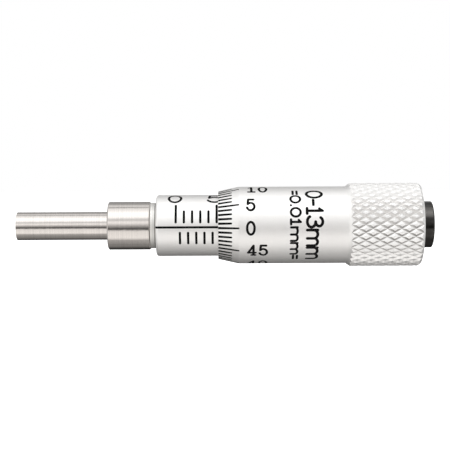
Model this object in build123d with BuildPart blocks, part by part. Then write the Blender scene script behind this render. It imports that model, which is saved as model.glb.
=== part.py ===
import os
from build123d import *

# Micrometer head, 0-13 mm, 0.5 mm screw pitch, 50 divisions on the thimble.
# Millimetres. The axis of the head is X, with +X from the stem towards the
# thimble; the origin is on that axis, in the plane of the sleeve's front face,
# against which the head is mounted. The datum line of the sleeve faces -Y.
# Everything is modelled at a reading of 5.0015 mm, as in the picture.

# ---- reading and travel
READING = 5.0015
TRAVEL = 13.0
ZERO_LINE_X = 2.53       # the sleeve's zero line
EDGE_GAP = 0.1685        # the thimble's edge stands this far past the line it reads

# ---- stem bush (ground steel, holds the head and guides the spindle)
STEM_R = 3.0
STEM_FRONT = -6.0
STEM_REAR = -0.7
STEM_CHAMFER = 0.12
GUIDE_R = 1.765          # spindle guide bore
SPIGOT_R = 2.49
SPIGOT_REAR = 1.5

# ---- inner sleeve (satin steel, carries the nut thread of the screw)
RELIEF_R = 2.84
SPIGOT_BORE_R = 2.5
BARREL_R = 3.25
BARREL_FRONT = 0.5
BARREL_REAR = 17.6
NUT_THREAD_R = 2.95
TAPER_FRONT = 21.4
TAPER_REAR_R = 2.65
BODY_REAR = 23.4
CLEAR_R = 2.25           # clearance bore around the screw
CLEAR_REAR = 14.5
BODY_THREAD_R = 2.12     # internal thread, drawn as a plain bore
SLOT_W = 0.4
SLOT_FRONT = 14.9

# ---- graduated sleeve
SLEEVE_R = 3.825
SLEEVE_BORE_R = 3.27
SLEEVE_LIP_BORE_R = 2.86
SLEEVE_LIP_CHAMFER = 0.24  # keeps the front face clear of the stem's diameter
SLEEVE_REAR = 17.0
SLEEVE_FILLET = 0.35
SPANNER_HOLE_R = 0.45
SPANNER_HOLE_X = 1.5
SPANNER_HOLE_FLOOR_R = 3.40

# ---- adjusting nut
NUT_FRONT = 18.9
NUT_REAR = 22.9
NUT_R = 3.6
NUT_PLAY = 0.01
NUT_SLOT_W = 0.7
NUT_SLOT_DEPTH = 0.5

# ---- spindle with its screw
SPINDLE_R = 1.75
SPINDLE_TIP = -17.42
SPINDLE_CHAMFER = 0.04
SPINDLE_SHOULDER = 7.0
RUNOUT_R = 1.6
SCREW_FRONT = 7.4
SCREW_R = 2.1
SCREW_REAR = 28.6
NECK_R = 1.8
SEAT_FRONT = 29.3
SEAT_FRONT_R = 2.5
SEAT_REAR = 32.2
SEAT_REAR_R = 2.1
TAPPED_R = 1.25
TAPPED_DEPTH = 5.0

# ---- thimble
EDGE_X = ZERO_LINE_X + READING + EDGE_GAP
EDGE_R = 4.22
BEVEL_X = 10.23
THIMBLE_R = 4.8
FLARE_FRONT = 23.58
KNURL_FRONT = 24.12
KNURL_R = 5.2
KNURL_REAR = 32.5
THIMBLE_REAR = 32.85
THIMBLE_RIM_R = 4.95
THIMBLE_BORE_R = 3.925
HUB_FRONT = 29.0
SEAT_PLAY = 0.01
HUB_THROAT_R = 2.12
COUNTERBORE_R = 3.0
COUNTERBORE_FLOOR = 32.35

# ---- cap and washer
WASHER_BORE_R = 1.35
WASHER_R = 2.8
WASHER_T = 0.2
CAP_R = 2.9
CAP_END = 34.37
CAP_CHAMFER = 0.06
CAP_SHANK_R = 1.24
CAP_SHANK_FRONT = 28.5
PIN_HOLE_R = 0.4
PIN_HOLE_AT = 1.7
PIN_HOLE_DEPTH = 0.8

# the travel: what must stay clear at zero and at full reading
assert SCREW_FRONT - READING > SPIGOT_REAR, "the screw meets the guide bush"
assert HUB_FRONT - READING > BODY_REAR, "the hub meets the inner sleeve"
assert EDGE_X - READING + TRAVEL < SLEEVE_REAR, "the thimble leaves the sleeve"
assert SPINDLE_SHOULDER - READING + TRAVEL > SPIGOT_REAR, "the spindle leaves its guide"

os.makedirs("parts", exist_ok=True)


def save(made, name):
    made.part.label = name
    export_step(made.part, f"parts/{name}.step")


# Every piece is turned: a closed profile of (x, radius) points, revolved about X.

with BuildPart() as stem_bush:
    with BuildSketch(Plane.XY):
        with BuildLine():
            Polyline(
                (STEM_FRONT, GUIDE_R + 0.1),
                (STEM_FRONT, STEM_R - STEM_CHAMFER),
                (STEM_FRONT + STEM_CHAMFER, STEM_R),
                (STEM_REAR, STEM_R),
                (STEM_REAR, SPIGOT_R),
                (SPIGOT_REAR, SPIGOT_R),
                (SPIGOT_REAR, GUIDE_R),
                (STEM_FRONT + 0.1, GUIDE_R),
                close=True,
            )
        make_face()
    revolve(axis=Axis.X)
save(stem_bush, "stem_bush")

with BuildPart() as inner_sleeve:
    with BuildSketch(Plane.XY):
        with BuildLine():
            Polyline(
                (STEM_REAR, SPIGOT_BORE_R),
                (STEM_REAR, RELIEF_R),
                (BARREL_FRONT, RELIEF_R),
                (BARREL_FRONT, BARREL_R),
                (BARREL_REAR, BARREL_R),
                (BARREL_REAR, NUT_THREAD_R),
                (TAPER_FRONT, NUT_THREAD_R),
                (BODY_REAR, TAPER_REAR_R),
                (BODY_REAR, BODY_THREAD_R),
                (CLEAR_REAR, BODY_THREAD_R),
                (CLEAR_REAR, CLEAR_R),
                (SPIGOT_REAR, CLEAR_R),
                (SPIGOT_REAR, SPIGOT_BORE_R),
                close=True,
            )
        make_face()
    revolve(axis=Axis.X)
    # three slots let the adjusting nut close the thread on the screw
    for angle in (90, 210, 330):
        with Locations(Rotation(angle, 0, 0)):
            with Locations(((SLOT_FRONT + BODY_REAR + 0.5) / 2, 0, 2.75)):
                Box(BODY_REAR + 0.5 - SLOT_FRONT, SLOT_W, 2.5, mode=Mode.SUBTRACT)
save(inner_sleeve, "inner_sleeve")

with BuildPart() as graduated_sleeve:
    with BuildSketch(Plane.XY):
        with BuildLine():
            Polyline(
                (SLEEVE_LIP_CHAMFER, SLEEVE_LIP_BORE_R),
                (0.0, SLEEVE_LIP_BORE_R + SLEEVE_LIP_CHAMFER),
                (0.0, SLEEVE_R),
                (SLEEVE_REAR, SLEEVE_R),
                (SLEEVE_REAR, SLEEVE_BORE_R),
                (BARREL_FRONT, SLEEVE_BORE_R),
                (BARREL_FRONT, SLEEVE_LIP_BORE_R),
                close=True,
            )
        make_face()
    revolve(axis=Axis.X)
    # the rounded front rim: the outermost circle in the plane of the front face
    front = graduated_sleeve.edges().filter_by(GeomType.CIRCLE).group_by(Axis.X)[0]
    fillet(front.sort_by(SortBy.RADIUS)[-1], SLEEVE_FILLET)
    # blind hole for the spanner that turns the sleeve to zero, on the far side
    with Locations(Location((SPANNER_HOLE_X, SPANNER_HOLE_FLOOR_R, 0), (-90, 0, 0))):
        Cylinder(
            SPANNER_HOLE_R,
            1.0,
            align=(Align.CENTER, Align.CENTER, Align.MIN),
            mode=Mode.SUBTRACT,
        )
save(graduated_sleeve, "graduated_sleeve")

taper = (NUT_THREAD_R - TAPER_REAR_R) / (BODY_REAR - TAPER_FRONT)
nut_rear_bore = NUT_THREAD_R + NUT_PLAY - taper * (NUT_REAR - TAPER_FRONT)
with BuildPart() as adjusting_nut:
    with BuildSketch(Plane.XY):
        with BuildLine():
            Polyline(
                (NUT_FRONT, NUT_THREAD_R + NUT_PLAY),
                (NUT_FRONT, NUT_R - 0.15),
                (NUT_FRONT + 0.15, NUT_R),
                (NUT_REAR - 0.15, NUT_R),
                (NUT_REAR, NUT_R - 0.15),
                (NUT_REAR, nut_rear_bore),
                (TAPER_FRONT, NUT_THREAD_R + NUT_PLAY),
                close=True,
            )
        make_face()
    revolve(axis=Axis.X)
    # two spanner slots across the rear face
    with Locations((NUT_REAR, 0, 0)):
        Box(2 * NUT_SLOT_DEPTH, 4 * NUT_R, NUT_SLOT_W, mode=Mode.SUBTRACT)
save(adjusting_nut, "adjusting_nut")

with BuildPart() as spindle:
    with BuildSketch(Plane.XY):
        with BuildLine():
            Polyline(
                (SPINDLE_TIP, 0.0),
                (SPINDLE_TIP, SPINDLE_R - SPINDLE_CHAMFER),
                (SPINDLE_TIP + SPINDLE_CHAMFER, SPINDLE_R),
                (SPINDLE_SHOULDER, SPINDLE_R),
                (SPINDLE_SHOULDER, RUNOUT_R),
                (SCREW_FRONT, RUNOUT_R),
                (SCREW_FRONT, SCREW_R - 0.25),
                (SCREW_FRONT + 0.25, SCREW_R),
                (SCREW_REAR, SCREW_R),
                (SCREW_REAR, NECK_R),
                (SEAT_FRONT, NECK_R),
                (SEAT_FRONT, SEAT_FRONT_R),
                (SEAT_REAR, SEAT_REAR_R),
                (SEAT_REAR, TAPPED_R),
                (SEAT_REAR - TAPPED_DEPTH, TAPPED_R),
                (SEAT_REAR - TAPPED_DEPTH - 0.6, 0.0),
                close=True,
            )
        make_face()
    revolve(axis=Axis.X)
save(spindle, "spindle")

with BuildPart() as thimble:
    with BuildSketch(Plane.XY):
        with BuildLine():
            Polyline(
                (EDGE_X, THIMBLE_BORE_R),
                (EDGE_X, EDGE_R),
                (BEVEL_X, THIMBLE_R),
                (FLARE_FRONT, THIMBLE_R),
                (KNURL_FRONT, KNURL_R),
                (KNURL_REAR, KNURL_R),
                (THIMBLE_REAR, THIMBLE_RIM_R),
                (THIMBLE_REAR, COUNTERBORE_R),
                (COUNTERBORE_FLOOR, COUNTERBORE_R),
                (COUNTERBORE_FLOOR, HUB_THROAT_R),
                (SEAT_REAR, SEAT_REAR_R + SEAT_PLAY),
                (SEAT_FRONT, SEAT_FRONT_R + SEAT_PLAY),
                (HUB_FRONT, SEAT_FRONT_R + SEAT_PLAY),
                (HUB_FRONT, THIMBLE_BORE_R),
                close=True,
            )
        make_face()
    revolve(axis=Axis.X)
save(thimble, "thimble")

with BuildPart() as cap_washer:
    with BuildSketch(Plane.YZ.offset(COUNTERBORE_FLOOR)):
        Circle(WASHER_R)
        Circle(WASHER_BORE_R, mode=Mode.SUBTRACT)
    extrude(amount=WASHER_T)
save(cap_washer, "cap_washer")

head = COUNTERBORE_FLOOR + WASHER_T
with BuildPart() as thimble_cap:
    with BuildSketch(Plane.XY):
        with BuildLine():
            Polyline(
                (CAP_SHANK_FRONT, 0.0),
                (CAP_SHANK_FRONT, CAP_SHANK_R - 0.2),
                (CAP_SHANK_FRONT + 0.2, CAP_SHANK_R),
                (head, CAP_SHANK_R),
                (head, CAP_R),
                (CAP_END - CAP_CHAMFER, CAP_R),
                (CAP_END, CAP_R - CAP_CHAMFER),
                (CAP_END, 0.0),
                close=True,
            )
        make_face()
    revolve(axis=Axis.X)
    # two holes for the pin spanner that tightens the cap
    with Locations(Plane.YZ.offset(CAP_END)):
        with Locations((0, PIN_HOLE_AT), (0, -PIN_HOLE_AT)):
            Cylinder(PIN_HOLE_R, 2 * PIN_HOLE_DEPTH, mode=Mode.SUBTRACT)
save(thimble_cap, "thimble_cap")
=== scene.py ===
import bpy
import math
import numpy as np
from mathutils import Matrix, Quaternion, Vector
from mathutils.geometry import delaunay_2d_cdt


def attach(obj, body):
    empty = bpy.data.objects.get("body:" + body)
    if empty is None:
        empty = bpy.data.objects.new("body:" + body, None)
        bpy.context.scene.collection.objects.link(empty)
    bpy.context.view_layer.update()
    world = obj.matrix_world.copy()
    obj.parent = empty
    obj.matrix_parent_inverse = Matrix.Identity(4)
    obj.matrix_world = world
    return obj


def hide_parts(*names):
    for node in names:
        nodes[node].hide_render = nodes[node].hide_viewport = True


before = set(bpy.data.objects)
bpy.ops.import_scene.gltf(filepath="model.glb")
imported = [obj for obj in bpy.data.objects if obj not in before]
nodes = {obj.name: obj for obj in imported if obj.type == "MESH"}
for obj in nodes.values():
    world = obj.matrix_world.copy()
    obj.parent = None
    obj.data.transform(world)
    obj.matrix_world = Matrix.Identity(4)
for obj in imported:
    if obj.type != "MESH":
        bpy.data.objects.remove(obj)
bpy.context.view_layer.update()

# Sizes below are in millimetres, in the part's frame: X is the axis of the head,
# and the angle phi goes round it from the datum line (-Y, phi 0) up towards +Z.
MM = 0.001

ZERO_LINE_X = 2.53
SLEEVE_R = 3.825
FILLET = 0.35
EDGE_X = 7.70
EDGE_R = 4.22
BEVEL_X = 10.23
BARREL_R = 4.8
KNURL_R = 5.2
KNURL_X0, KNURL_X1 = 24.12, 32.5
FLARE_X = 23.58
REAR_X = 32.85


# ---------------------------------------------------------------- mesh building
def polar(x, r, phi):
    x, r, phi = np.broadcast_arrays(
        np.asarray(x, float), np.asarray(r, float), np.asarray(phi, float)
    )
    return np.stack([x, -r * np.cos(phi), r * np.sin(phi)], -1)


def unit(v):
    return v / np.maximum(np.linalg.norm(v, axis=-1, keepdims=True), 1e-12)


class Skin:
    """Collects triangles with a normal for each corner, then welds them into one mesh."""

    def __init__(self):
        self.p, self.n, self.t, self.m, self.count = [], [], [], [], 0

    def add(self, p, n, t, m):
        p = np.asarray(p, float).reshape(-1, 3)
        n = unit(np.asarray(n, float).reshape(-1, 3))
        t = np.asarray(t, int).reshape(-1, 3)
        self.p.append(p)
        self.n.append(n)
        self.t.append(t + self.count)
        self.m.append(np.full(len(t), m, int))
        self.count += len(p)

    def flat(self, p, t, m):
        """Triangles that each keep their own face normal."""
        p = np.asarray(p, float).reshape(-1, 3)
        t = np.asarray(t, int).reshape(-1, 3)
        q = p[t]
        n = unit(np.cross(q[:, 1] - q[:, 0], q[:, 2] - q[:, 0]))
        self.add(q.reshape(-1, 3), np.repeat(n, 3, 0), np.arange(3 * len(t)), m)

    def make(self, name, materials):
        p, n = np.concatenate(self.p), np.concatenate(self.n)
        t, m = np.concatenate(self.t), np.concatenate(self.m)
        key = np.round(p * 1e4).astype(np.int64)
        _, first, inverse = np.unique(
            key, axis=0, return_index=True, return_inverse=True
        )
        inverse = inverse.reshape(-1)
        w = inverse[t]
        keep = (w[:, 0] != w[:, 1]) & (w[:, 1] != w[:, 2]) & (w[:, 0] != w[:, 2])
        w, t, m = w[keep], t[keep], m[keep]
        mesh = bpy.data.meshes.new(name)
        mesh.vertices.add(len(first))
        mesh.vertices.foreach_set("co", (p[first] * MM).astype(np.float32).ravel())
        mesh.loops.add(3 * len(w))
        mesh.loops.foreach_set("vertex_index", w.astype(np.int32).ravel())
        mesh.polygons.add(len(w))
        mesh.polygons.foreach_set("loop_start", np.arange(0, 3 * len(w), 3, dtype=np.int32))
        mesh.polygons.foreach_set("material_index", m.astype(np.int32))
        for material in materials:
            mesh.materials.append(material)
        mesh.update(calc_edges=True)
        mesh.normals_split_custom_set(n[t].reshape(-1, 3).tolist())
        obj = bpy.data.objects.new(name, mesh)
        bpy.context.scene.collection.objects.link(obj)
        return obj


def line(*points):
    """Straight runs of a profile, each run with its own normal. Points are (x, r)."""
    runs = []
    for (x0, r0), (x1, r1) in zip(points, points[1:]):
        n = (-(r1 - r0), x1 - x0)
        runs.append([(x0, r0, *n), (x1, r1, *n)])
    return runs


def arc(cx, cr, radius, a0, a1, steps=8):
    """An arc of a profile about (cx, cr), as one smooth run. Angles in degrees, 0 along +x, 90 along +r."""
    run = []
    for k in range(steps + 1):
        a = math.radians(a0 + (a1 - a0) * k / steps)
        run.append(
            (cx + radius * math.cos(a), cr + radius * math.sin(a), math.cos(a), math.sin(a))
        )
    return [run]


def lathe(skin, runs, phi, m=0):
    n = len(phi)
    j = np.arange(n)
    k = (j + 1) % n
    for run in runs:
        a = np.array(run, float)
        p = polar(a[:, 0:1], a[:, 1:2], phi[None, :])
        nr = polar(a[:, 2:3], a[:, 3:4], phi[None, :])
        t = []
        for i in range(len(run) - 1):
            q0, q1 = i * n, (i + 1) * n
            t.append(np.stack([q0 + j, q1 + j, q1 + k], -1))
            t.append(np.stack([q0 + j, q1 + k, q0 + k], -1))
        skin.add(p, nr, np.concatenate(t), m)


# ------------------------------------------------------------- marks and figures
def ccw(poly):
    a = sum(
        p[0] * q[1] - q[0] * p[1] for p, q in zip(poly, list(poly[1:]) + [poly[0]])
    )
    return list(poly) if a > 0 else list(poly)[::-1]


def stroke(points, width, closed=False, cap=6):
    """A drawn line of the given width as simple polygons: one quad a step, and round ends."""
    p = np.array(points, float)
    if closed:
        d = unit(np.roll(p, -1, 0) - np.roll(p, 1, 0))
    else:
        d = np.empty_like(p)
        d[1:-1] = p[2:] - p[:-2]
        d[0], d[-1] = p[1] - p[0], p[-1] - p[-2]
        d = unit(d)
    side = np.stack([-d[:, 1], d[:, 0]], -1) * width / 2
    left, right = p + side, p - side
    polys = []
    last = len(p) if closed else len(p) - 1
    for i in range(last):
        j = (i + 1) % len(p)
        polys.append([tuple(left[i]), tuple(right[i]), tuple(right[j]), tuple(left[j])])
    if not closed:
        for q, dq in ((p[0], -d[0]), (p[-1], d[-1])):
            a0 = math.atan2(dq[1], dq[0])
            polys.append(
                [
                    (
                        q[0] + width / 2 * math.cos(a0 + math.pi * (k / cap - 0.5)),
                        q[1] + width / 2 * math.sin(a0 + math.pi * (k / cap - 0.5)),
                    )
                    for k in range(cap + 1)
                ]
            )
    return polys


def curve(cx, cy, rx, ry, a0, a1, steps=12):
    return [
        (
            cx + rx * math.cos(math.radians(a0 + (a1 - a0) * k / steps)),
            cy + ry * math.sin(math.radians(a0 + (a1 - a0) * k / steps)),
        )
        for k in range(steps + 1)
    ]


# Each figure is a list of smooth strokes in a box one wide and one high.
OVAL = [("ring", curve(0.5, 0.5, 0.5, 0.5, 0, 360, 28)[:-1])]
FIGURES = {
    "0": OVAL,
    "1": [
        ("open", [(0.5, 0.0), (0.5, 1.0)]),
        ("open", [(0.5, 1.0), (0.36, 0.88), (0.16, 0.80)]),
        ("open", [(0.08, 0.0), (0.92, 0.0)]),
    ],
    "2": [
        ("open", curve(0.5, 0.70, 0.47, 0.30, 172, -38, 16) + [(0.02, 0.0)]),
        ("open", [(0.02, 0.0), (1.0, 0.0)]),
    ],
    "3": [
        ("open", curve(0.47, 0.77, 0.42, 0.23, 155, -90, 14)),
        ("open", curve(0.47, 0.27, 0.51, 0.27, 90, -158, 16)),
    ],
    "4": [
        ("open", [(0.72, 1.0), (0.0, 0.28)]),
        ("open", [(0.0, 0.28), (1.0, 0.28)]),
        ("open", [(0.72, 1.0), (0.72, 0.0)]),
        ("open", [(0.46, 0.0), (0.98, 0.0)]),
    ],
    "5": [
        ("open", [(0.17, 1.0), (0.88, 1.0)]),
        ("open", [(0.17, 1.0), (0.11, 0.55)]),
        ("open", curve(0.50, 0.335, 0.50, 0.335, 140, -163, 20)),
    ],
    "m": [
        ("open", [(0.0, 0.0), (0.0, 0.68)]),
        ("open", curve(0.26, 0.44, 0.26, 0.24, 180, 0, 10) + [(0.52, 0.0)]),
        ("open", curve(0.76, 0.44, 0.24, 0.24, 180, 0, 10) + [(1.0, 0.0)]),
    ],
    "-": [("open", [(0.05, 0.42), (0.95, 0.42)])],
    "=": [("open", [(0.0, 0.27), (1.0, 0.27)]), ("open", [(0.0, 0.68), (1.0, 0.68)])],
    ".": [("open", [(0.45, 0.02), (0.55, 0.02)])],
}


def figure(char, width, height, weight, place):
    """Polygons of one figure. Width and height are those of its centre lines, and place maps them onto the surface."""
    polys = []
    for kind, pts in FIGURES[char]:
        scaled = [(x * width, y * height) for x, y in pts]
        polys += stroke(scaled, weight, closed=kind == "ring")
    return [[place(*q) for q in poly] for poly in polys]


def engrave(skin, surface, rings, phi, groups, ref_r, top=0):
    """A band of revolution cut by marks.

    surface(u, phi) gives points and normals, rings are the values of u that need
    a ring of points, phi goes once round from seam to seam, both ends included.
    groups is a list of (polygons in (u, s), material, floor), with s = phi x ref_r,
    and floor(u, phi) gives the points and normals of the marks' floor."""
    rings = np.array(rings, float)
    nr, nc = len(rings), len(phi)
    uu, ss = np.meshgrid(rings, phi * ref_r, indexing="ij")
    pts = [tuple(q) for q in np.stack([uu.ravel(), ss.ravel()], -1)]
    edges = []
    for i in range(nr):
        for j in range(nc):
            if j < nc - 1:
                edges.append((i * nc + j, i * nc + j + 1))
            if i < nr - 1:
                edges.append((i * nc + j, (i + 1) * nc + j))
    faces, owner = [], []
    for g, (polys, _, _) in enumerate(groups):
        for poly in polys:
            start = len(pts)
            poly = ccw(poly)
            pts += [tuple(q) for q in poly]
            faces.append(list(range(start, start + len(poly))))
            owner.append(g)
    out = delaunay_2d_cdt(
        [Vector(q) for q in pts], edges, faces, 0, 1e-6, True
    )
    co = np.array([tuple(v) for v in out[0]], float)
    exact = np.array(pts, float)
    for i, origins in enumerate(out[3]):
        if origins:
            co[i] = exact[min(origins)]
    tri = np.array(out[2], int)
    inside = np.full(len(tri), -1)
    for i, origins in enumerate(out[5]):
        if origins:
            inside[i] = owner[origins[0]]
    p, n = surface(co[:, 0], co[:, 1] / ref_r)
    skin.add(p, n, tri[inside < 0], top)
    for g, (_, material, floor) in enumerate(groups):
        mine = tri[inside == g]
        fp, fn = floor(co[:, 0], co[:, 1] / ref_r)
        skin.add(fp, fn, mine, material)
        e = np.concatenate([mine[:, [0, 1]], mine[:, [1, 2]], mine[:, [2, 0]]])
        seen = {(int(a), int(b)) for a, b in e}
        rim = np.array([(a, b) for a, b in seen if (b, a) not in seen], int)
        rim = rim[np.lexsort((rim[:, 1], rim[:, 0]))]
        a, b, k = rim[:, 0], rim[:, 1], len(p)
        both = np.concatenate([p, fp])
        wall = np.concatenate(
            [np.stack([a, b, b + k], -1), np.stack([a, b + k, a + k], -1)]
        )
        skin.flat(both, wall, material)


# --------------------------------------------------------------------- materials
def node(tree, kind, **values):
    made = tree.nodes.new(kind)
    for key, value in values.items():
        if hasattr(made, key):
            setattr(made, key, value)
        else:
            made.inputs[key.replace("_", " ")].default_value = value
    return made


def metal(name, base, roughness, metallic=1.0):
    mat = bpy.data.materials.new(name)
    mat.use_nodes = True
    tree = mat.node_tree
    shader = tree.nodes["Principled BSDF"]
    shader.inputs["Metallic"].default_value = metallic
    shader.inputs["Base Color"].default_value = (*base, 1)
    shader.inputs["Roughness"].default_value = roughness
    return mat, tree, shader


def socket_math(tree, op, a, b=None, c=None, clamp=False):
    made = tree.nodes.new("ShaderNodeMath")
    made.operation = op
    made.use_clamp = clamp
    for i, v in enumerate((a, b, c)):
        if v is None:
            continue
        if isinstance(v, (int, float)):
            made.inputs[i].default_value = v
        else:
            tree.links.new(v, made.inputs[i])
    return made.outputs[0]


def spread(tree, value, low, high, to_low, to_high):
    made = tree.nodes.new("ShaderNodeMapRange")
    tree.links.new(value, made.inputs["Value"])
    made.inputs["From Min"].default_value = low
    made.inputs["From Max"].default_value = high
    made.inputs["To Min"].default_value = to_low
    made.inputs["To Max"].default_value = to_high
    return made.outputs["Result"]


def noise(tree, vector, scale, detail=3.0, rough=0.55):
    made = tree.nodes.new("ShaderNodeTexNoise")
    made.inputs["Scale"].default_value = scale
    made.inputs["Detail"].default_value = detail
    made.inputs["Roughness"].default_value = rough
    tree.links.new(vector, made.inputs["Vector"])
    return made.outputs["Fac"]


def axes(tree):
    """Object coordinates in millimetres: x, and the distance from the head's axis."""
    coord = tree.nodes.new("ShaderNodeTexCoord")
    scale = tree.nodes.new("ShaderNodeVectorMath")
    scale.operation = "SCALE"
    tree.links.new(coord.outputs["Object"], scale.inputs[0])
    scale.inputs["Scale"].default_value = 1000.0
    split = tree.nodes.new("ShaderNodeSeparateXYZ")
    tree.links.new(scale.outputs["Vector"], split.inputs[0])
    x, y, z = split.outputs
    r = socket_math(
        tree, "SQRT",
        socket_math(tree, "ADD", socket_math(tree, "MULTIPLY", y, y),
                    socket_math(tree, "MULTIPLY", z, z)),
    )
    return scale.outputs["Vector"], x, r


def along(tree, x, r, k=1.0):
    """A vector that changes along the profile only, for turning and grinding lines."""
    made = tree.nodes.new("ShaderNodeCombineXYZ")
    tree.links.new(socket_math(tree, "MULTIPLY", x, k), made.inputs[0])
    tree.links.new(socket_math(tree, "MULTIPLY", r, k), made.inputs[1])
    return made.outputs[0]


def tint(tree, shader, base, value, low, high, dark, light):
    """Base colour between dark x base and light x base as value goes from low to high."""
    made = tree.nodes.new("ShaderNodeMix")
    made.data_type = "RGBA"
    tree.links.new(spread(tree, value, low, high, 0.0, 1.0), made.inputs["Factor"])
    made.inputs[6].default_value = (*[c * dark for c in base], 1)
    made.inputs[7].default_value = (*[c * light for c in base], 1)
    tree.links.new(made.outputs[2], shader.inputs["Base Color"])
    return made


def bump(tree, shader, height, strength, distance, under=None):
    made = tree.nodes.new("ShaderNodeBump")
    made.inputs["Strength"].default_value = strength
    made.inputs["Distance"].default_value = distance
    tree.links.new(height, made.inputs["Height"])
    if under is not None:
        tree.links.new(under, made.inputs["Normal"])
    tree.links.new(made.outputs["Normal"], shader.inputs["Normal"])
    return made.outputs["Normal"]


def make_ground_steel():
    base = (0.675, 0.64, 0.61)
    mat, tree, shader = metal("ground_steel", base, 0.1)
    vec, x, r = axes(tree)
    fine = noise(tree, along(tree, x, r), 14.0, 4.0, 0.7)
    rings = noise(tree, along(tree, x, r), 2.6, 4.0, 0.6)
    smear = noise(tree, vec, 1.3, 4.0, 0.6)
    streak = noise(tree, along(tree, x, r), 6.0, 2.0, 0.6)
    shade = socket_math(
        tree, "ADD", spread(tree, streak, 0.3, 0.7, 0.0, 0.6),
        socket_math(tree, "ADD", spread(tree, fine, 0.3, 0.7, 0.0, 0.2),
                    spread(tree, rings, 0.3, 0.7, 0.0, 0.2)),
    )
    tint(tree, shader, base, shade, 0.1, 0.9, 0.905, 1.06)
    rough = socket_math(
        tree, "ADD",
        spread(tree, fine, 0.3, 0.7, 0.07, 0.115),
        socket_math(tree, "ADD", spread(tree, rings, 0.3, 0.7, -0.01, 0.02),
                    spread(tree, smear, 0.35, 0.7, -0.01, 0.03)),
    )
    tree.links.new(rough, shader.inputs["Roughness"])
    wavy = bump(tree, shader, noise(tree, vec, 1.7, 2.5, 0.55), 1.0, 0.000008)
    bump(tree, shader, streak, 0.3, 0.000006, under=wavy)
    return mat


def make_satin_steel():
    base = (0.82, 0.81, 0.785)
    mat, tree, shader = metal("satin_steel", base, 0.52)
    vec, x, r = axes(tree)
    lines = noise(tree, along(tree, x, r), 9.0, 4.0, 0.65)
    grain = noise(tree, vec, 9.0, 3.0)
    turned = tint(tree, shader, base, lines, 0.3, 0.7, 0.94, 1.05)
    # painted shade for a shallow turned groove round the shoulder, and stronger painted shade in the corner in front
    # of the sleeve
    off = socket_math(tree, "ABSOLUTE", socket_math(tree, "ADD", x, 0.36))
    corner = socket_math(tree, "ABSOLUTE", socket_math(tree, "ADD", x, 0.07))
    line_and_corner_shade = tree.nodes.new("ShaderNodeMix")
    line_and_corner_shade.data_type = "RGBA"
    tree.links.new(
        socket_math(tree, "ADD", spread(tree, off, 0.03, 0.06, 0.14, 0.0),
                    spread(tree, corner, 0.08, 0.14, 0.72, 0.0)),
        line_and_corner_shade.inputs["Factor"],
    )
    tree.links.new(turned.outputs[2], line_and_corner_shade.inputs[6])
    line_and_corner_shade.inputs[7].default_value = (0.1, 0.095, 0.09, 1)
    tree.links.new(line_and_corner_shade.outputs[2], shader.inputs["Base Color"])
    tree.links.new(
        socket_math(tree, "ADD", spread(tree, grain, 0.3, 0.7, 0.48, 0.56),
                    spread(tree, lines, 0.3, 0.7, -0.03, 0.03)),
        shader.inputs["Roughness"],
    )
    bump(tree, shader, lines, 0.25, 0.000008)
    return mat


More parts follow.
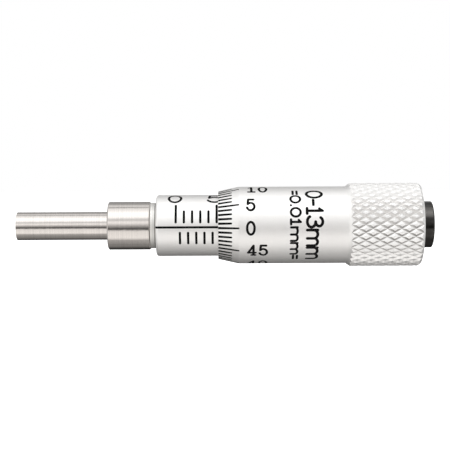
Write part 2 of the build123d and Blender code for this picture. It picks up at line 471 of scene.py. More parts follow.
def make_satin_chrome(name="satin_chrome", knurl=False):
    base = (0.90, 0.892, 0.88)
    mat, tree, shader = metal(name, base, 0.48, metallic=0.97)
    vec, x, r = axes(tree)
    grain = noise(tree, vec, 13.0, 4.0, 0.6)
    cloud = noise(tree, vec, 0.45, 3.0, 0.5)
    worn = noise(tree, vec, 2.2, 5.0, 0.6)
    lines = noise(tree, along(tree, x, r), 7.0, 3.0, 0.6)
    shade = socket_math(
        tree, "ADD", spread(tree, grain, 0.25, 0.75, 0.2, 0.8),
        socket_math(tree, "ADD", spread(tree, cloud, 0.3, 0.7, -0.2, 0.2),
                    spread(tree, lines, 0.3, 0.7, -0.12, 0.12)),
    )
    colour = tint(tree, shader, base, shade, 0.0, 1.0, 0.97, 1.03)
    if knurl:
        # painted shade on one side of each diamond, the side that faces one way round the head, more of it on the
        # head's lower half, a little less in random patches
        coord = tree.nodes.new("ShaderNodeTexCoord")
        n = tree.nodes.new("ShaderNodeSeparateXYZ")
        tree.links.new(coord.outputs["Normal"], n.inputs[0])
        p = tree.nodes.new("ShaderNodeSeparateXYZ")
        tree.links.new(vec, p.inputs[0])
        facing = socket_math(
            tree, "DIVIDE",
            socket_math(tree, "SUBTRACT",
                        socket_math(tree, "MULTIPLY", n.outputs[2], p.outputs[1]),
                        socket_math(tree, "MULTIPLY", n.outputs[1], p.outputs[2])),
            r,
        )
        upper = socket_math(tree, "DIVIDE", p.outputs[2], r)
        painted_shade = socket_math(
            tree, "MULTIPLY",
            socket_math(tree, "MULTIPLY", spread(tree, facing, 0.25, 0.45, 0.0, 1.0),
                        spread(tree, worn, 0.3, 0.6, 0.8, 1.0)),
            socket_math(tree, "MULTIPLY", spread(tree, upper, -0.3, 0.3, 1.0, 0.5),
                        spread(tree, upper, 0.35, 0.65, 1.0, 0.45)),
        )
        # and painted shade in the bottom of the grooves low on the front
        bottom = socket_math(
            tree, "MULTIPLY",
            socket_math(tree, "MULTIPLY", spread(tree, r, 5.035, 5.085, 0.42, 0.0),
                        spread(tree, worn, 0.3, 0.6, 0.7, 1.0)),
            socket_math(tree, "MULTIPLY", spread(tree, upper, -0.32, -0.12, 1.0, 0.0),
                        spread(tree, upper, -0.72, -0.6, 0.0, 1.0)),
        )
        painted_shade = socket_math(tree, "MAXIMUM", painted_shade, bottom)
        # this mix lays the painted shade's dark colour over the base colour
        painted_shade_mix = tree.nodes.new("ShaderNodeMix")
        painted_shade_mix.data_type = "RGBA"
        tree.links.new(painted_shade, painted_shade_mix.inputs["Factor"])
        # the diamonds' tops are rubbed bright
        rubbed = tree.nodes.new("ShaderNodeMix")
        rubbed.data_type = "RGBA"
        tree.links.new(spread(tree, r, 5.13, 5.175, 0.0, 0.85), rubbed.inputs["Factor"])
        tree.links.new(colour.outputs[2], rubbed.inputs[6])
        rubbed.inputs[7].default_value = (0.985, 0.98, 0.972, 1)
        tree.links.new(rubbed.outputs[2], painted_shade_mix.inputs[6])
        painted_shade_mix.inputs[7].default_value = (0.40, 0.39, 0.38, 1)
        # above the middle the diamonds' tops are painted darker, painted shade speckled with a random noise
        speckle = noise(tree, vec, 4.5, 3.0, 0.6)
        upper_tops_shade = socket_math(
            tree, "MULTIPLY",
            socket_math(tree, "MULTIPLY", spread(tree, upper, 0.08, 0.42, 0.0, 1.0),
                        spread(tree, upper, 0.5, 0.75, 1.0, 0.0)),
            socket_math(tree, "MULTIPLY", spread(tree, speckle, 0.35, 0.65, 0.05, 0.8),
                        spread(tree, r, 5.05, 5.11, 0.0, 1.0)),
        )
        above = tree.nodes.new("ShaderNodeMix")
        above.data_type = "RGBA"
        tree.links.new(upper_tops_shade, above.inputs["Factor"])
        tree.links.new(painted_shade_mix.outputs[2], above.inputs[6])
        above.inputs[7].default_value = (0.56, 0.555, 0.55, 1)
        tree.links.new(above.outputs[2], shader.inputs["Base Color"])
    low, high = (0.27, 0.33) if knurl else (0.43, 0.49)
    rough = socket_math(
        tree, "ADD", spread(tree, grain, 0.25, 0.75, low, high),
        spread(tree, worn, 0.35, 0.75, -0.02, 0.03),
    )
    if knurl:
        # the tops are rounded over, so they mirror more of the studio
        rough = socket_math(tree, "ADD", rough, spread(tree, r, 5.11, 5.17, 0.0, 0.2))
    tree.links.new(rough, shader.inputs["Roughness"])
    bump(tree, shader, grain, 0.12, 0.000006)
    return mat


def make_black_finish():
    base = (0.050, 0.048, 0.046)
    mat, tree, shader = metal("black_finish", base, 0.15)
    vec, x, r = axes(tree)
    lines = noise(tree, along(tree, x, r), 9.0, 4.0, 0.65)
    rubbed = noise(tree, vec, 1.6, 5.0, 0.6)
    tint(tree, shader, base, rubbed, 0.3, 0.75, 0.8, 1.25)
    tree.links.new(
        socket_math(tree, "ADD", spread(tree, lines, 0.3, 0.7, 0.12, 0.16),
                    spread(tree, rubbed, 0.35, 0.7, -0.02, 0.04)),
        shader.inputs["Roughness"],
    )
    bump(tree, shader, lines, 0.12, 0.000003)
    return mat


# near-black paint for the engraved marks, also given to the floors and walls of holes as painted shade
def make_black_fill():
    base = (0.003, 0.003, 0.0032)
    mat, tree, shader = metal("black_fill_and_hole_shade", base, 0.7, metallic=0.0)
    vec, x, r = axes(tree)
    grain = noise(tree, vec, 16.0, 3.0)
    tint(tree, shader, base, grain, 0.3, 0.7, 0.8, 1.6)
    tree.links.new(spread(tree, grain, 0.3, 0.7, 0.62, 0.78), shader.inputs["Roughness"])
    shader.inputs["Specular IOR Level"].default_value = 0.06
    bump(tree, shader, grain, 0.15, 0.000004)
    return mat


ground_steel = make_ground_steel()
satin_steel = make_satin_steel()
satin_chrome = make_satin_chrome()
knurl_chrome = make_satin_chrome("satin_chrome_knurl", knurl=True)
black_finish = make_black_finish()
black_fill_and_hole_shade = make_black_fill()


# ------------------------------------------------------------- graduated sleeve
def build_sleeve():
    skin = Skin()
    count = 256
    seam = math.radians(-120)
    phi = seam + np.arange(count + 1) * 2 * math.pi / count
    quarter = FILLET * math.pi / 2
    shift = quarter - FILLET  # u = x + shift past the fillet
    theta = np.radians(np.arange(0, 91, 10.0))
    us = np.concatenate([FILLET * theta, [17.0 + shift]])
    xs = np.concatenate([FILLET * (1 - np.cos(theta)), [17.0]])
    rs = np.concatenate([SLEEVE_R - FILLET + FILLET * np.sin(theta), [SLEEVE_R]])
    nx = np.concatenate([-np.cos(theta), [0.0]])
    nr = np.concatenate([np.sin(theta), [1.0]])

    def surface(u, f, depth=0.0):
        x, r = np.interp(u, us, xs), np.interp(u, us, rs)
        a, b = np.interp(u, us, nx), np.interp(u, us, nr)
        s = np.hypot(a, b)
        a, b = a / s, b / s
        return polar(x - depth * a, r - depth * b, f), polar(a, b, f)

    def cut(u, f):
        return surface(u, f, 0.03)

    def hole_floor(u, f):
        p, _ = surface(u, f)
        p = p.copy()
        p[:, 1] = 3.40
        return p, np.tile([0.0, 1.0, 0.0], (len(p), 1))

    marks = []

    def bar(x, s0, s1, width):
        marks.extend(stroke([(x + shift, s0), (x + shift, s1)], width))

    wide, half = 0.29, 0.145
    for i in range(14):
        long = i % 5 == 0
        bar(ZERO_LINE_X + i, 0.474 + half, (3.0 if long else 2.17) - half, wide)
        if i < 13:
            bar(ZERO_LINE_X + i + 0.5, -0.537 - half, -2.26 + half, wide)
    marks.extend(stroke([(0.25, 0.0), (16.3 + shift, 0.0)], 0.275))
    # figures over the long lines
    weight, high = 0.31, 1.60
    base = 3.34 + 0.12
    for value, centre, width in (
        ("0", ZERO_LINE_X - 0.14, 1.52),
        ("5", ZERO_LINE_X + 5 - 0.27, 1.68),
    ):
        left = centre - width / 2
        marks.extend(
            figure(value, width, high, weight,
                   lambda gx, gy, left=left: (left + gx + shift, base + gy))
        )
    for char, left, width in (
        ("1", ZERO_LINE_X + 10 - 1.28, 0.75),
        ("0", ZERO_LINE_X + 10 - 0.17, 1.42),
    ):
        marks.extend(
            figure(char, width, high, weight,
                   lambda gx, gy, left=left: (left + gx + shift, base + gy))
        )
    # the spanner hole: its floor and walls take the near-black fill, painted shade for the dark inside of the hole
    hole = [
        (
            1.5 + shift + 0.45 * math.cos(2 * math.pi * k / 24),
            math.pi * SLEEVE_R + SLEEVE_R * math.asin(0.45 * math.sin(2 * math.pi * k / 24) / SLEEVE_R),
        )
        for k in range(24)
    ]
    engrave(
        skin, surface, us, phi,
        [(marks, 1, cut), ([hole], 1, hole_floor)],
        SLEEVE_R,
    )
    ring = phi[:-1]
    lathe(
        skin,
        line((17.0, SLEEVE_R), (17.0, 3.30), (16.97, 3.27), (0.5, 3.27), (0.5, 2.86),
             (0.24, 2.86), (0.0, 3.10), (0.0, SLEEVE_R - FILLET)),
        ring,
    )
    obj = skin.make("sleeve_marked", [satin_chrome, black_fill_and_hole_shade])
    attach(obj, "sleeve")
    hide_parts("graduated_sleeve")
    return obj


# ----------------------------------------------------------------------- thimble
PITCH = 1.7413           # the knurl's pitch along the axis
AROUND = 32              # and its number of grooves each way round
CROSS_X = 25.6436        # two of its grooves cross here
PHI0 = math.radians(-19.475)
GROOVE_HALF = 0.28       # half the width of a groove, in pitches
GROOVE_DEPTH = 0.178
CROWN = 0.022            # how far the diamonds' corners lie below their centres


def knurl(skin, phi, material):
    """Two sets of V grooves that cross, cut into a turned blank. Every crease is an edge of the mesh.

    A groove of the first set lies where turn + rise is whole, and one of the second where
    turn - rise is whole: turn counts pitches round the head, rise pitches along it."""
    h, around = GROOVE_HALF, AROUND / 2
    top = 0.5 - h
    steps = np.array([0, h] + [h + 2 * top * k / 4 for k in (1, 2, 3)] + [1 - h])
    zone = [FLARE_X, KNURL_X0, KNURL_X1, REAR_X]
    blank = [BARREL_R, KNURL_R, KNURL_R, 4.95]
    rise_of = lambda x: (x - CROSS_X) / PITCH
    low_x = KNURL_X0 - GROOVE_DEPTH * (KNURL_X0 - FLARE_X) / (KNURL_R - BARREL_R)
    high_x = KNURL_X1 + GROOVE_DEPTH * (REAR_X - KNURL_X1) / (KNURL_R - 4.95)
    low, high = rise_of(low_x), rise_of(high_x)

    grid = np.concatenate([k + steps for k in range(-22, 23)])
    n = len(grid)
    a, b = np.meshgrid(grid, grid, indexing="ij")
    turn, rise = (a + b) / 2, (a - b) / 2
    within = (np.abs(turn) <= around + 1e-9) & (rise >= low - 1e-9) & (rise <= high + 1e-9)
    number = np.full(a.shape, -1)
    number[within] = np.arange(within.sum())
    pts = [(u, t) for u, t in zip(rise[within].tolist(), turn[within].tolist())]
    edges = []

    def clipped(p, q):
        """The part of a segment between the two ends of the grooves, as a new edge."""
        (u0, t0), (u1, t1) = p, q
        k0, k1 = 0.0, 1.0
        if abs(u1 - u0) < 1e-12:
            if not low <= u0 <= high:
                return
        else:
            ka, kb = sorted(((low - u0) / (u1 - u0), (high - u0) / (u1 - u0)))
            k0, k1 = max(k0, ka), min(k1, kb)
        if k1 - k0 < 1e-9:
            return
        s = len(pts)
        pts.append((u0 + (u1 - u0) * k0, t0 + (t1 - t0) * k0))
        pts.append((u0 + (u1 - u0) * k1, t0 + (t1 - t0) * k1))
        edges.append((s, s + 1))

    def join(i0, j0, i1, j1):
        inside = np.abs(turn[i0, j0]) <= around + 1e-9, np.abs(turn[i1, j1]) <= around + 1e-9
        p, q = number[i0, j0], number[i1, j1]
        if p >= 0 and q >= 0:
            edges.append((int(p), int(q)))
        elif (p >= 0 or q >= 0) and all(inside):
            clipped((rise[i0, j0], turn[i0, j0]), (rise[i1, j1], turn[i1, j1]))

    near = within.copy()
    near[:-1] |= within[1:]
    near[1:] |= within[:-1]
    near[:, :-1] |= near[:, 1:].copy()
    near[:, 1:] |= near[:, :-1].copy()
    for i, j in zip(*[v.tolist() for v in np.nonzero(near)]):
        if i < n - 1:
            join(i, j, i + 1, j)
        if j < n - 1:
            join(i, j, i, j + 1)
        if i % 6 == 0 and j % 6 == 0:
            for di, dj in ((1, 1), (1, -1), (-1, 1), (-1, -1)):
                if 0 <= i + di < n and 0 <= j + dj < n:
                    join(i, j, i + di, j + dj)
    # where the grooves run out on the blank's two slopes
    for k in range(-22, 23):
        for way in (1, -1):
            for end, full in ((low, rise_of(KNURL_X0)), (high, rise_of(KNURL_X1))):
                for side in (h, -h):
                    s = len(pts)
                    pts.append((end, k - way * end))
                    pts.append((full, k + side - way * full))
                    edges.append((s, s + 1))
    # the rings of the blank, and the seam
    turns = (phi - PHI0) * AROUND / (2 * math.pi)
    for x, every in (
        (FLARE_X, 1), ((FLARE_X + low_x) / 2, 2), (KNURL_X0, 8), (KNURL_X1, 8), (REAR_X, 1),
    ):
        s, row = len(pts), turns[::every]
        pts += [(rise_of(x), float(t)) for t in row]
        edges += [(s + i, s + i + 1) for i in range(len(row) - 1)]
    s = len(pts)
    pts += [(rise_of(x), t) for t in (-around, around) for x in (FLARE_X, REAR_X)]
    edges += [(s, s + 1), (s + 2, s + 3)]

    out = delaunay_2d_cdt([Vector(q) for q in pts], edges, [], 0, 1e-7, True)
    co = np.array([tuple(v) for v in out[0]], float)
    exact = np.array(pts, float)
    for i, origins in enumerate(out[3]):
        if origins:
            co[i] = exact[min(origins)]
    tri = np.array(out[2], int)
    mid = co[tri].mean(1)
    tri = tri[(np.abs(mid[:, 1]) < around) & (mid[:, 0] > rise_of(FLARE_X)) & (mid[:, 0] < rise_of(REAR_X))]

    def offset(v):
        """How far v lies from the nearest diamond's centre line."""
        return v - np.floor(v) - 0.5

    def height(u, t):
        oa, ob = offset(t + u), offset(t - u)
        ga = np.clip((np.abs(oa) - top) / h, 0, 1)
        gb = np.clip((np.abs(ob) - top) / h, 0, 1)
        ca = np.minimum(np.abs(oa) / top, 1) ** 2
        cb = np.minimum(np.abs(ob) / top, 1) ** 2
        cut = KNURL_R - GROOVE_DEPTH * np.maximum(ga, gb) - CROWN / 2 * (ca + cb)
        turned = np.interp(u, [rise_of(x) for x in zone], blank)
        return oa, ob, ga, gb, cut, turned

    oa, ob, ga, gb, cut, turned = height(co[:, 0], co[:, 1])
    r = np.minimum(cut, turned)
    x, ang = CROSS_X + PITCH * co[:, 0], PHI0 + co[:, 1] * 2 * math.pi / AROUND
    p = polar(x, r, ang)
    # each triangle belongs to one face of the knurl, which gives its corners their normals
    mid = co[tri].mean(1)
    ma, mb, mga, mgb, mcut, mturned = height(mid[:, 0], mid[:, 1])
    plain = mturned < mcut - 1e-9
    flank_a = ~plain & (mga > 0) & (mga >= mgb)
    flank_b = ~plain & (mgb > 0) & (mgb > mga)
    # an offset just past a half belongs to the next diamond: bring it to the triangle's own
    ca = ma[:, None] + (offset(co[tri, 1] + co[tri, 0] - mid[:, 1:] - mid[:, :1] - 0.5))
    cb = mb[:, None] + (offset(co[tri, 1] - co[tri, 0] - mid[:, 1:] + mid[:, :1] - 0.5))
    da = -CROWN * np.where(np.abs(ma)[:, None] < top, ca / top**2, 0)
    db = -CROWN * np.where(np.abs(mb)[:, None] < top, cb / top**2, 0)
    da = da - np.where(flank_a, np.sign(ma) * GROOVE_DEPTH / h, 0)[:, None]
    db = db - np.where(flank_b, np.sign(mb) * GROOVE_DEPTH / h, 0)[:, None]
    dx = (da - db) / PITCH
    dt = (da + db) * AROUND / (2 * math.pi)
    slopes = np.diff(blank) / np.diff(zone)
    at = np.clip(np.searchsorted(zone, CROSS_X + PITCH * mid[:, 0]) - 1, 0, 2)
    dx = np.where(plain[:, None], slopes[at][:, None], dx)
    # the flare in front is rounded off towards the barrel
    front = plain & (at == 0)
    up = np.clip((CROSS_X + PITCH * co[tri, 0] - FLARE_X) / (KNURL_X0 - FLARE_X), 0, 1)
    dx = np.where(front[:, None], dx * (0.25 + 0.5 * up), dx)
    dt = np.where(plain[:, None], 0.0, dt)
    f = ang[tri]
    normal = polar(-dx, 1.0, f)
    normal = normal - (dt / r[tri])[..., None] * np.stack([np.zeros_like(f), np.sin(f), np.cos(f)], -1)
    for part, m in ((front, 0), (~front, material)):
        skin.add(p[tri[part]].reshape(-1, 3), normal[part].reshape(-1, 3), np.arange(3 * part.sum()), m)


def build_thimble():
    skin = Skin()
    count = AROUND * 16
    phi = PHI0 + (np.arange(count + 1) - 256) * 2 * math.pi / count

    slope = (BARREL_R - EDGE_R) / (BEVEL_X - EDGE_X)
    at = lambda x: EDGE_R + slope * (x - EDGE_X)
    us = np.array([EDGE_X + 0.015, 10.13, 10.23, 10.33, FLARE_X])
    rs = np.array([at(EDGE_X + 0.015), at(10.13), BARREL_R - 0.0057, BARREL_R, BARREL_R])
    cone = math.atan(slope)
    lean = np.array([cone, cone, cone / 2, 0, 0])

    def surface(u, f, depth=0.0):
        r = np.interp(u, us, rs)
        t = np.interp(u, us, lean)
        a, b = -np.sin(t), np.cos(t)
        return polar(u - depth * a, r - depth * b, f), polar(a, b, f)

    def cut(u, f):
        return surface(u, f, 0.025)

    marks = []
    for k in range(50):
        f = -1.1 + 7.2 * k
        f = math.radians(f if f < 160 else f - 360)
        major = k % 5 == 0
        end = 10.31 if major else 9.42
        w0, w1 = 0.29, (0.22 if major else 0.24)
        x0 = EDGE_X + 0.02
        poly = [(x0, (f - w0 / 2 / at(x0)) * BARREL_R)]
        tip = end - w1 / 2
        for q in range(7):
            b = -math.pi / 2 + math.pi * q / 6
            x = tip + w1 / 2 * math.cos(b)
            poly.append((x, (f + w1 / 2 * math.sin(b) / at(tip)) * BARREL_R))
        poly.append((x0, (f + w0 / 2 / at(x0)) * BARREL_R))
        marks.append(poly)
        if major:
            text = str(k)
            for i, char in enumerate(text):
                left = 11.23 + (0.13 if len(text) > 1 else 0.0) + i * 1.39
                marks.extend(
                    figure(char, 0.91, 1.54, 0.3,
                           lambda gx, gy, left=left, f=f: (left + gx, f * BARREL_R + gy - 0.77))
                )

    def column(text, x_low, height, top, bottom, weight):
        """Upright strokes turned a quarter clockwise, read from the top down."""
        widths = {"m": 1.3, "-": 0.55, "=": 0.55, ".": 0.12, "1": 0.55}
        total = sum(widths.get(c, 0.85) for c in text)
        length = top - bottom
        unit_w = (length - weight - 0.34 * (weight + 0.6) * (len(text) - 1)) / total
        unit_w = min(unit_w, height * 0.9)
        gap = (length - total * unit_w - weight) / (len(text) - 1)
        s = top - weight / 2
        for c in text:
            w = widths.get(c, 0.85) * unit_w
            marks.extend(
                figure(c, w, height - weight, weight,
                       lambda gx, gy, s=s: (x_low + weight / 2 + gy, s - gx))
            )
            s -= w + gap

    top, bottom = math.radians(65.2) * BARREL_R, math.radians(-58.0) * BARREL_R
    column("=0.01mm=", 16.42, 1.47, top, bottom, 0.29)
    column("0-13mm", 18.36, 2.23, top, bottom, 0.35)

    engrave(skin, surface, us, phi, [(marks, 1, cut)], BARREL_R)
    knurl(skin, phi, 2)

    ring = phi[:-1]
    # rear face, counterbore, hub, bore and front edge
    lathe(
        skin,
        line((REAR_X, 4.95), (REAR_X, 3.05), (REAR_X - 0.05, 3.0), (32.35, 3.0), (32.35, 2.12),
             (32.2, 2.11), (29.3, 2.51), (29.0, 2.51), (29.0, 3.925), (7.72, 3.925),
             (EDGE_X, 3.945), (EDGE_X, at(EDGE_X + 0.015) - 0.018),
             (EDGE_X + 0.015, at(EDGE_X + 0.015))),
        ring,
    )
    obj = skin.make("thimble_marked", [satin_chrome, black_fill_and_hole_shade, knurl_chrome])
    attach(obj, "rotor")
    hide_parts("thimble")
    return obj


# ----------------------------------------------------------------------- spindle
def build_spindle():
    skin = Skin()
    count = 192
    phi = np.arange(count) * 2 * math.pi / count
    tip, r = -17.42, 1.75
    lathe(
        skin,
        line((tip, 0.0), (tip, r - 0.04))
        + arc(tip + 0.04, r - 0.04, 0.04, 180, 90, 4)
        + line((tip + 0.04, r), (6.96, r), (7.0, 1.71), (7.0, 1.6), (7.4, 1.6), (7.4, 1.7)),
        phi,
    )
    # the screw: a 60 degree thread of 0.5 mm pitch, flat at crest and root
    pitch, crest, root = 0.5, 2.1, 1.78
    cols, per = 96, 10
    f = np.arange(cols) * 2 * math.pi / cols
    x = np.arange(7.4, 28.6 + 1e-9, pitch / per)
    x[-1] = 28.6
    wave = np.abs(((x[:, None] / pitch - f[None, :] / (2 * math.pi)) % 1.0) - 0.5) * 2
    height = np.clip((wave - 0.14) / (0.86 - 0.14), 0, 1)
    rr = root + (crest - root) * height
    lead = np.clip((x - 7.4) / 0.3, 0, 1)[:, None] * 0.4 + 1.7
    tail = np.clip((28.6 - x) / 0.3, 0, 1)[:, None] * 0.3 + 1.8
    rr = np.minimum(rr, np.minimum(lead, tail))
    p = polar(x[:, None], rr, f[None, :])
    du = np.gradient(rr, x, axis=0)
    df = (np.roll(rr, -1, 1) - np.roll(rr, 1, 1)) / (2 * 2 * math.pi / cols)
    e_r = polar(np.zeros_like(rr), 1.0, f[None, :])
    e_f = np.stack([np.zeros_like(rr), np.broadcast_to(np.sin(f), rr.shape), np.broadcast_to(np.cos(f), rr.shape)], -1)
    e_x = np.zeros_like(p)
    e_x[..., 0] = 1.0
    nrm = e_r - du[..., None] * e_x - (df / rr)[..., None] * e_f
    j = np.arange(cols)
    k = (j + 1) % cols
    t = []
    for i in range(len(x) - 1):
        q0, q1 = i * cols, (i + 1) * cols
        t.append(np.stack([q0 + j, q1 + j, q1 + k], -1))
        t.append(np.stack([q0 + j, q1 + k, q0 + k], -1))
    skin.add(p, nrm, np.concatenate(t), 0)
    # closing rings between the turned ends (192 points) and the thread (96 points)
    for xr, rad, full, flip in ((7.4, 1.7, 1.7, False), (28.6, 1.8, 1.8, True)):
        fine = polar(xr, rad, phi)
        row = 0 if not flip else len(x) - 1
        coarse = p[row]
        both = np.concatenate([fine, coarse])
        tr = []
        for a in range(cols):
            b = (a + 1) % cols
            f0, f1, f2 = 2 * a, 2 * a + 1, (2 * a + 2) % count
            quad = [(f0, f1, count + a), (f1, count + b, count + a), (f1, f2, count + b)]
            tr += [(u, w, v) if flip else (u, v, w) for u, v, w in quad]
        skin.add(both, np.tile([1.0 if flip else -1.0, 0, 0], (len(both), 1)), tr, 0)
    lathe(
        skin,
        line((28.6, 1.8), (29.3, 1.8), (29.3, 2.47), (29.33, 2.4955), (32.17, 2.1041), (32.2, 2.07),
             (32.2, 1.35), (32.1, 1.25), (27.2, 1.25), (26.6, 0.0)),
        phi,
    )
    obj = skin.make("spindle_ground", [ground_steel])
    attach(obj, "rotor")
    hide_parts("spindle")
    return obj


# -------------------------------------------------------------------- stem bush
def build_bush():
    skin = Skin()
    phi = np.arange(256) * 2 * math.pi / 256
    lathe(
        skin,
        line((-6.0, 1.865), (-6.0, 2.85))
        + arc(-6.0 + 0.03, 2.85 + 0.0, 0.03, 180, 135, 3)
        + line((-6.0 + 0.03 - 0.03 * math.cos(math.pi / 4), 2.85 + 0.03 * math.sin(math.pi / 4)),
               (-5.885, 2.988))
        + [[(-5.885, 2.988, -0.7071, 0.7071), (-5.872, 2.998, -0.35, 0.93), (-5.855, 3.0, 0, 1)]]
        + line((-5.855, 3.0), (-0.83, 3.0), (-0.7, 2.87), (-0.7, 2.49), (1.5, 2.49),
               (1.5, 1.765), (-5.9, 1.765), (-6.0, 1.865)),
        phi,
    )
    obj = skin.make("bush_ground", [ground_steel])
    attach(obj, "frame")
    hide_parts("stem_bush")
    return obj


# -------------------------------------------------------------------- thimble cap
def build_cap():
    skin = Skin()
    count = 192
    phi = np.arange(count) * 2 * math.pi / count
    edge = 0.16
    lathe(
        skin,
        line((28.5, 0.0), (28.5, 1.04), (28.7, 1.24), (32.55, 1.24), (32.55, 2.87), (32.58, 2.9),
             (32.87, 2.9), (32.89, 2.79), (32.97, 2.79), (32.99, 2.9), (34.37 - edge, 2.9))
        + arc(34.37 - edge, 2.9 - edge, edge, 90, 0, 8),
        phi,
    )
    # the end face with two blind holes for a pin spanner; their floors and walls take the near-black fill as painted
    # shade
    face_r = 2.9 - edge
    rim = [(face_r * math.cos(a), face_r * math.sin(a)) for a in phi]
    pts, faces = list(rim), []
    holes = []
    for side in (1, -1):
        start = len(pts)
        pts += [
            (0.4 * math.cos(2 * math.pi * k / 32), side * 1.7 + 0.4 * math.sin(2 * math.pi * k / 32))
            for k in range(32)
        ]
        faces.append(list(range(start, start + 32)))
    edges = [(i, (i + 1) % count) for i in range(count)]
    out = delaunay_2d_cdt([Vector(q) for q in pts], edges, faces, 0, 1e-6, True)
    co = np.array([tuple(v) for v in out[0]], float)
    exact = np.array(pts, float)
    for i, origins in enumerate(out[3]):
        if origins:
            co[i] = exact[min(origins)]
    tri = np.array(out[2], int)
    hole = np.array([bool(o) for o in out[5]])
    # the plane's first coordinate is -Y and its second Z, and the face looks along +X
    top = np.stack([np.full(len(co), 34.37), -co[:, 0], co[:, 1]], -1)
    low = top - [0.8, 0, 0]
    tri = tri[:, ::-1]
    up = np.tile([1.0, 0, 0], (len(co), 1))
    skin.add(top, up, tri[~hole], 0)
    skin.add(low, up, tri[hole], 1)
    mine = tri[hole]
    e = np.concatenate([mine[:, [0, 1]], mine[:, [1, 2]], mine[:, [2, 0]]])
    seen = {(int(a), int(b)) for a, b in e}
    rim_e = np.array(sorted((a, b) for a, b in seen if (b, a) not in seen), int)
    a, b, k = rim_e[:, 0], rim_e[:, 1], len(top)
    both = np.concatenate([top, low])
    skin.flat(both, np.concatenate([np.stack([a, b, b + k], -1), np.stack([a, b + k, a + k], -1)]), 1)
    obj = skin.make("cap_black", [black_finish, black_fill_and_hole_shade])
    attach(obj, "rotor")
    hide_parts("thimble_cap")
    return obj


pieces = [build_sleeve(), build_thimble(), build_spindle(), build_bush(), build_cap()]

for name in ("inner_sleeve", "adjusting_nut", "cap_washer"):
    mesh = nodes[name].data
    mesh.materials.clear()
    mesh.materials.append(satin_steel)


# --------------------------------------------------------------- studio and camera
# What a level cylinder mirrors as its surface turns: brightness by the angle round
# the X axis, from the horizontal in front (0) up over the top (90) and back down.
STUDIO = [
    (-180, 0.55), (-165, 0.08), (-135, 0.04), (-95, 0.45), (-90, 0.56), (-80, 0.60),
    (-75, 0.72), (-70, 0.64), (-60, 1.05), (-55, 1.20), (-25, 1.08), (-20, 0.80),
    (-15, 0.17), (-10, 0.11), (5, 0.60), (15, 1.09), (20, 1.12), (25, 1.05), (30, 0.80),
    (35, 0.98), (45, 1.59), (65, 1.75), (85, 1.25), (95, 1.18), (100, 0.72), (110, 1.03),
    (115, 0.98), (125, 0.54), (140, 0.42), (160, 0.32), (172, 0.55), (180, 0.55),
]


# Out to the two sides, past the gap that the camera stands in, the lamps are even and
# the table below is dim. Only slopes such as the knurl's mirror this.
SIDES = [
    (-180, 0.45), (-165, 0.38), (-150, 0.30), (-130, 0.27), (-110, 0.24), (-90, 0.24),
    (-75, 0.32), (-66, 0.70), (-58, 0.95), (-50, 1.05), (-40, 1.10), (-20, 1.15),
    (0, 1.15), (24, 1.12), (32, 1.18), (50, 1.18), (62, 1.05), (90, 1.15), (125, 1.15),
    (145, 0.75), (165, 0.45), (180, 0.45),
]
# A strip of the studio, as wide as the cap mirrors, has a stronger lamp above and less
# light in front and below: how many times brighter than the rest, by the same angle.
STRIP = [
    (-180, 1.0), (-110, 1.0), (-90, 0.45), (-75, 0.12), (-62, 0.3), (-45, 0.5), (-30, 0.75),
    (-12, 0.5), (3, 0.12), (15, 0.1), (27, 0.15), (36, 0.9), (44, 2.2), (52, 3.4), (66, 4.1),
    (80, 3.4), (95, 2.7), (110, 1.3), (125, 0.8), (150, 1.5), (180, 1.0),
]
# And towards the spindle's end the table is darker and the light in front a little stronger.
SPINDLE_END = [
    (-180, 1.0), (-112, 1.0), (-100, 0.7), (-72, 0.7), (-64, 1.0), (-8, 1.0), (4, 1.12),
    (22, 1.12), (30, 1.0), (93, 1.0), (99, 0.72), (102, 0.72), (108, 1.0), (180, 1.0),
]


def curve_of(tree, angle, table, most):
    """A table of (degrees, value) as a curve of the angle, which runs from 0 to 1."""
    made = tree.nodes.new("ShaderNodeFloatCurve")
    points = made.mapping.curves[0].points
    points[0].location = (0.0, table[0][1] / most)
    points[1].location = (1.0, table[-1][1] / most)
    for deg, value in table[1:-1]:
        points.new((deg + 180) / 360, value / most)
    for point in points:
        point.handle_type = "VECTOR"
    made.mapping.update()
    tree.links.new(angle, made.inputs["Value"])
    return socket_math(tree, "MULTIPLY", made.outputs["Value"], most)


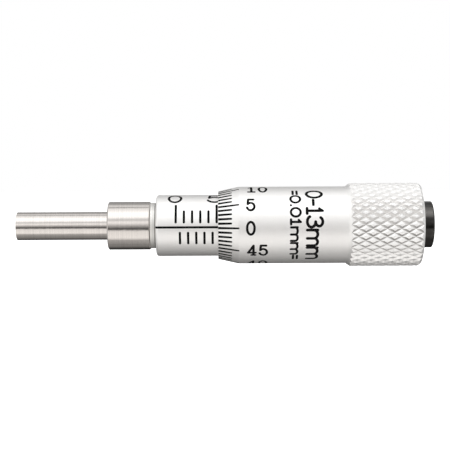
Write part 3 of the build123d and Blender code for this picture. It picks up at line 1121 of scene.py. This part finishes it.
def build_world():
    world = bpy.data.worlds.new("studio")
    bpy.context.scene.world = world
    world.use_nodes = True
    tree = world.node_tree
    tree.nodes.clear()
    coord = tree.nodes.new("ShaderNodeTexCoord")
    split = tree.nodes.new("ShaderNodeSeparateXYZ")
    tree.links.new(coord.outputs["Generated"], split.inputs[0])
    x, y, z = split.outputs
    angle = spread(
        tree, socket_math(tree, "ARCTAN2", z, socket_math(tree, "MULTIPLY", y, -1.0)),
        -math.pi, math.pi, 0.0, 1.0,
    )
    off = socket_math(tree, "ABSOLUTE", socket_math(tree, "ADD", x, -0.167))
    in_strip = spread(tree, off, 0.012, 0.022, 1.0, 0.0)
    factor = socket_math(tree, "ADD", curve_of(tree, angle, STRIP, 4.5), -1.0)
    factor = socket_math(tree, "ADD", socket_math(tree, "MULTIPLY", factor, in_strip), 1.0)
    middle = socket_math(tree, "MULTIPLY", curve_of(tree, angle, STUDIO, 2.0), factor)
    change = socket_math(tree, "ADD", curve_of(tree, angle, SPINDLE_END, 1.5), -1.0)
    change = socket_math(tree, "MULTIPLY", change, spread(tree, x, -0.06, -0.04, 1.0, 0.0))
    middle = socket_math(tree, "MULTIPLY", middle, socket_math(tree, "ADD", change, 1.0))
    aside = tree.nodes.new("ShaderNodeMix")
    aside.data_type = "FLOAT"
    tree.links.new(
        spread(tree, socket_math(tree, "ABSOLUTE", x), 0.30, 0.40, 0.0, 1.0),
        aside.inputs[0],
    )
    tree.links.new(middle, aside.inputs[2])
    tree.links.new(curve_of(tree, angle, SIDES, 2.0), aside.inputs[3])
    brightness = aside.outputs[0]
    # the light from below the horizon comes off a warm table
    warm = tree.nodes.new("ShaderNodeValToRGB")
    tree.links.new(angle, warm.inputs["Fac"])
    elements = warm.color_ramp.elements
    for position, colour in (
        (0.0, (1.0, 1.0, 1.0)), (0.12, (1.015, 0.993, 0.965)), (0.47, (1.015, 0.993, 0.975)),
        (0.53, (1.01, 0.995, 0.985)), (0.60, (1.0, 1.0, 1.0)), (1.0, (1.0, 1.0, 1.0)),
    ):
        if position in (0.0, 1.0):
            elements[0 if position == 0.0 else -1].color = (*colour, 1)
        else:
            elements.new(position).color = (*colour, 1)
    around = tree.nodes.new("ShaderNodeVectorMath")
    around.operation = "SCALE"
    tree.links.new(warm.outputs["Color"], around.inputs[0])
    tree.links.new(brightness, around.inputs["Scale"])
    # towards the ends of the axis the bands run together into one even tone
    ends = spread(tree, socket_math(tree, "ABSOLUTE", x), 0.62, 0.80, 0.0, 1.0)
    plain_end = tree.nodes.new("ShaderNodeMix")
    plain_end.data_type = "RGBA"
    tree.links.new(spread(tree, x, -0.5, 0.5, 0.0, 1.0), plain_end.inputs["Factor"])
    plain_end.inputs[6].default_value = (0.85, 0.85, 0.85, 1)
    plain_end.inputs[7].default_value = (0.75, 0.75, 0.75, 1)
    # and it falls off behind the head
    behind = tree.nodes.new("ShaderNodeVectorMath")
    behind.operation = "SCALE"
    tree.links.new(plain_end.outputs[2], behind.inputs[0])
    tree.links.new(spread(tree, y, 0.05, 0.40, 1.0, 0.5), behind.inputs["Scale"])
    mix = tree.nodes.new("ShaderNodeMix")
    mix.data_type = "RGBA"
    tree.links.new(ends, mix.inputs["Factor"])
    tree.links.new(around.outputs["Vector"], mix.inputs[6])
    tree.links.new(behind.outputs["Vector"], mix.inputs[7])
    light = tree.nodes.new("ShaderNodeBackground")
    tree.links.new(mix.outputs[2], light.inputs["Color"])
    plain = tree.nodes.new("ShaderNodeBackground")
    plain.inputs["Color"].default_value = (1, 1, 1, 1)
    plain.inputs["Strength"].default_value = 1.0
    path = tree.nodes.new("ShaderNodeLightPath")
    choose = tree.nodes.new("ShaderNodeMixShader")
    tree.links.new(path.outputs["Is Camera Ray"], choose.inputs[0])
    tree.links.new(light.outputs[0], choose.inputs[1])
    tree.links.new(plain.outputs[0], choose.inputs[2])
    out = tree.nodes.new("ShaderNodeOutputWorld")
    tree.links.new(choose.outputs[0], out.inputs["Surface"])


def build_floor():
    mesh = bpy.data.meshes.new("floor")
    s, z = 1.5, -0.048
    mesh.from_pydata([(-s, -s, z), (s, -s, z), (s, s, z), (-s, s, z)], [], [(0, 1, 2, 3)])
    floor = bpy.data.objects.new("floor", mesh)
    bpy.context.scene.collection.objects.link(floor)
    mat = bpy.data.materials.new("pale_floor")
    mat.use_nodes = True
    shader = mat.node_tree.nodes["Principled BSDF"]
    shader.inputs["Base Color"].default_value = (0.86, 0.86, 0.86, 1)
    shader.inputs["Roughness"].default_value = 0.9
    shader.inputs["Specular IOR Level"].default_value = 0.1
    shader.inputs["Emission Color"].default_value = (1, 1, 1, 1)
    shader.inputs["Emission Strength"].default_value = 0.55
    # from below, the floor is clear, so that the head's underside can be seen
    tree = mat.node_tree
    side = tree.nodes.new("ShaderNodeNewGeometry")
    clear = tree.nodes.new("ShaderNodeBsdfTransparent")
    choose = tree.nodes.new("ShaderNodeMixShader")
    tree.links.new(side.outputs["Backfacing"], choose.inputs[0])
    tree.links.new(shader.outputs[0], choose.inputs[1])
    tree.links.new(clear.outputs[0], choose.inputs[2])
    tree.links.new(choose.outputs[0], tree.nodes["Material Output"].inputs["Surface"])
    mesh.materials.append(mat)
    floor.visible_glossy = False


def build_light():
    data = bpy.data.lights.new("soft_top", "AREA")
    data.shape = "DISK"
    data.size = 0.5
    data.energy = 1.4
    lamp = bpy.data.objects.new("soft_top", data)
    lamp.location = (0.05, -0.15, 0.6)
    lamp.rotation_mode = "QUATERNION"
    lamp.rotation_quaternion = (Vector((0.008, 0, 0)) - lamp.location).to_track_quat("-Z", "Y")
    lamp.visible_glossy = False
    bpy.context.scene.collection.objects.link(lamp)


def build_camera():
    data = bpy.data.cameras.new("camera")
    data.sensor_width = 36.0
    data.lens = 95.8
    data.shift_y = 0.0005
    data.clip_start = 0.001
    data.clip_end = 20.0
    cam = bpy.data.objects.new("camera", data)
    up = math.radians(3.6)
    target = Vector((8.55 * MM, 0, 0))
    back = Vector((0, -math.cos(up), math.sin(up)))
    cam.location = target + back * 0.150
    cam.rotation_mode = "QUATERNION"
    # the picture is turned a quarter of a degree, with the cap end a little higher
    cam.rotation_quaternion = Quaternion(-back, math.radians(0.28)) @ (-back).to_track_quat("-Z", "Y")
    bpy.context.scene.collection.objects.link(cam)
    bpy.context.scene.camera = cam


build_world()
build_floor()
build_light()
build_camera()
bpy.context.scene.view_settings.view_transform = "Standard"

bpy.context.view_layer.update()
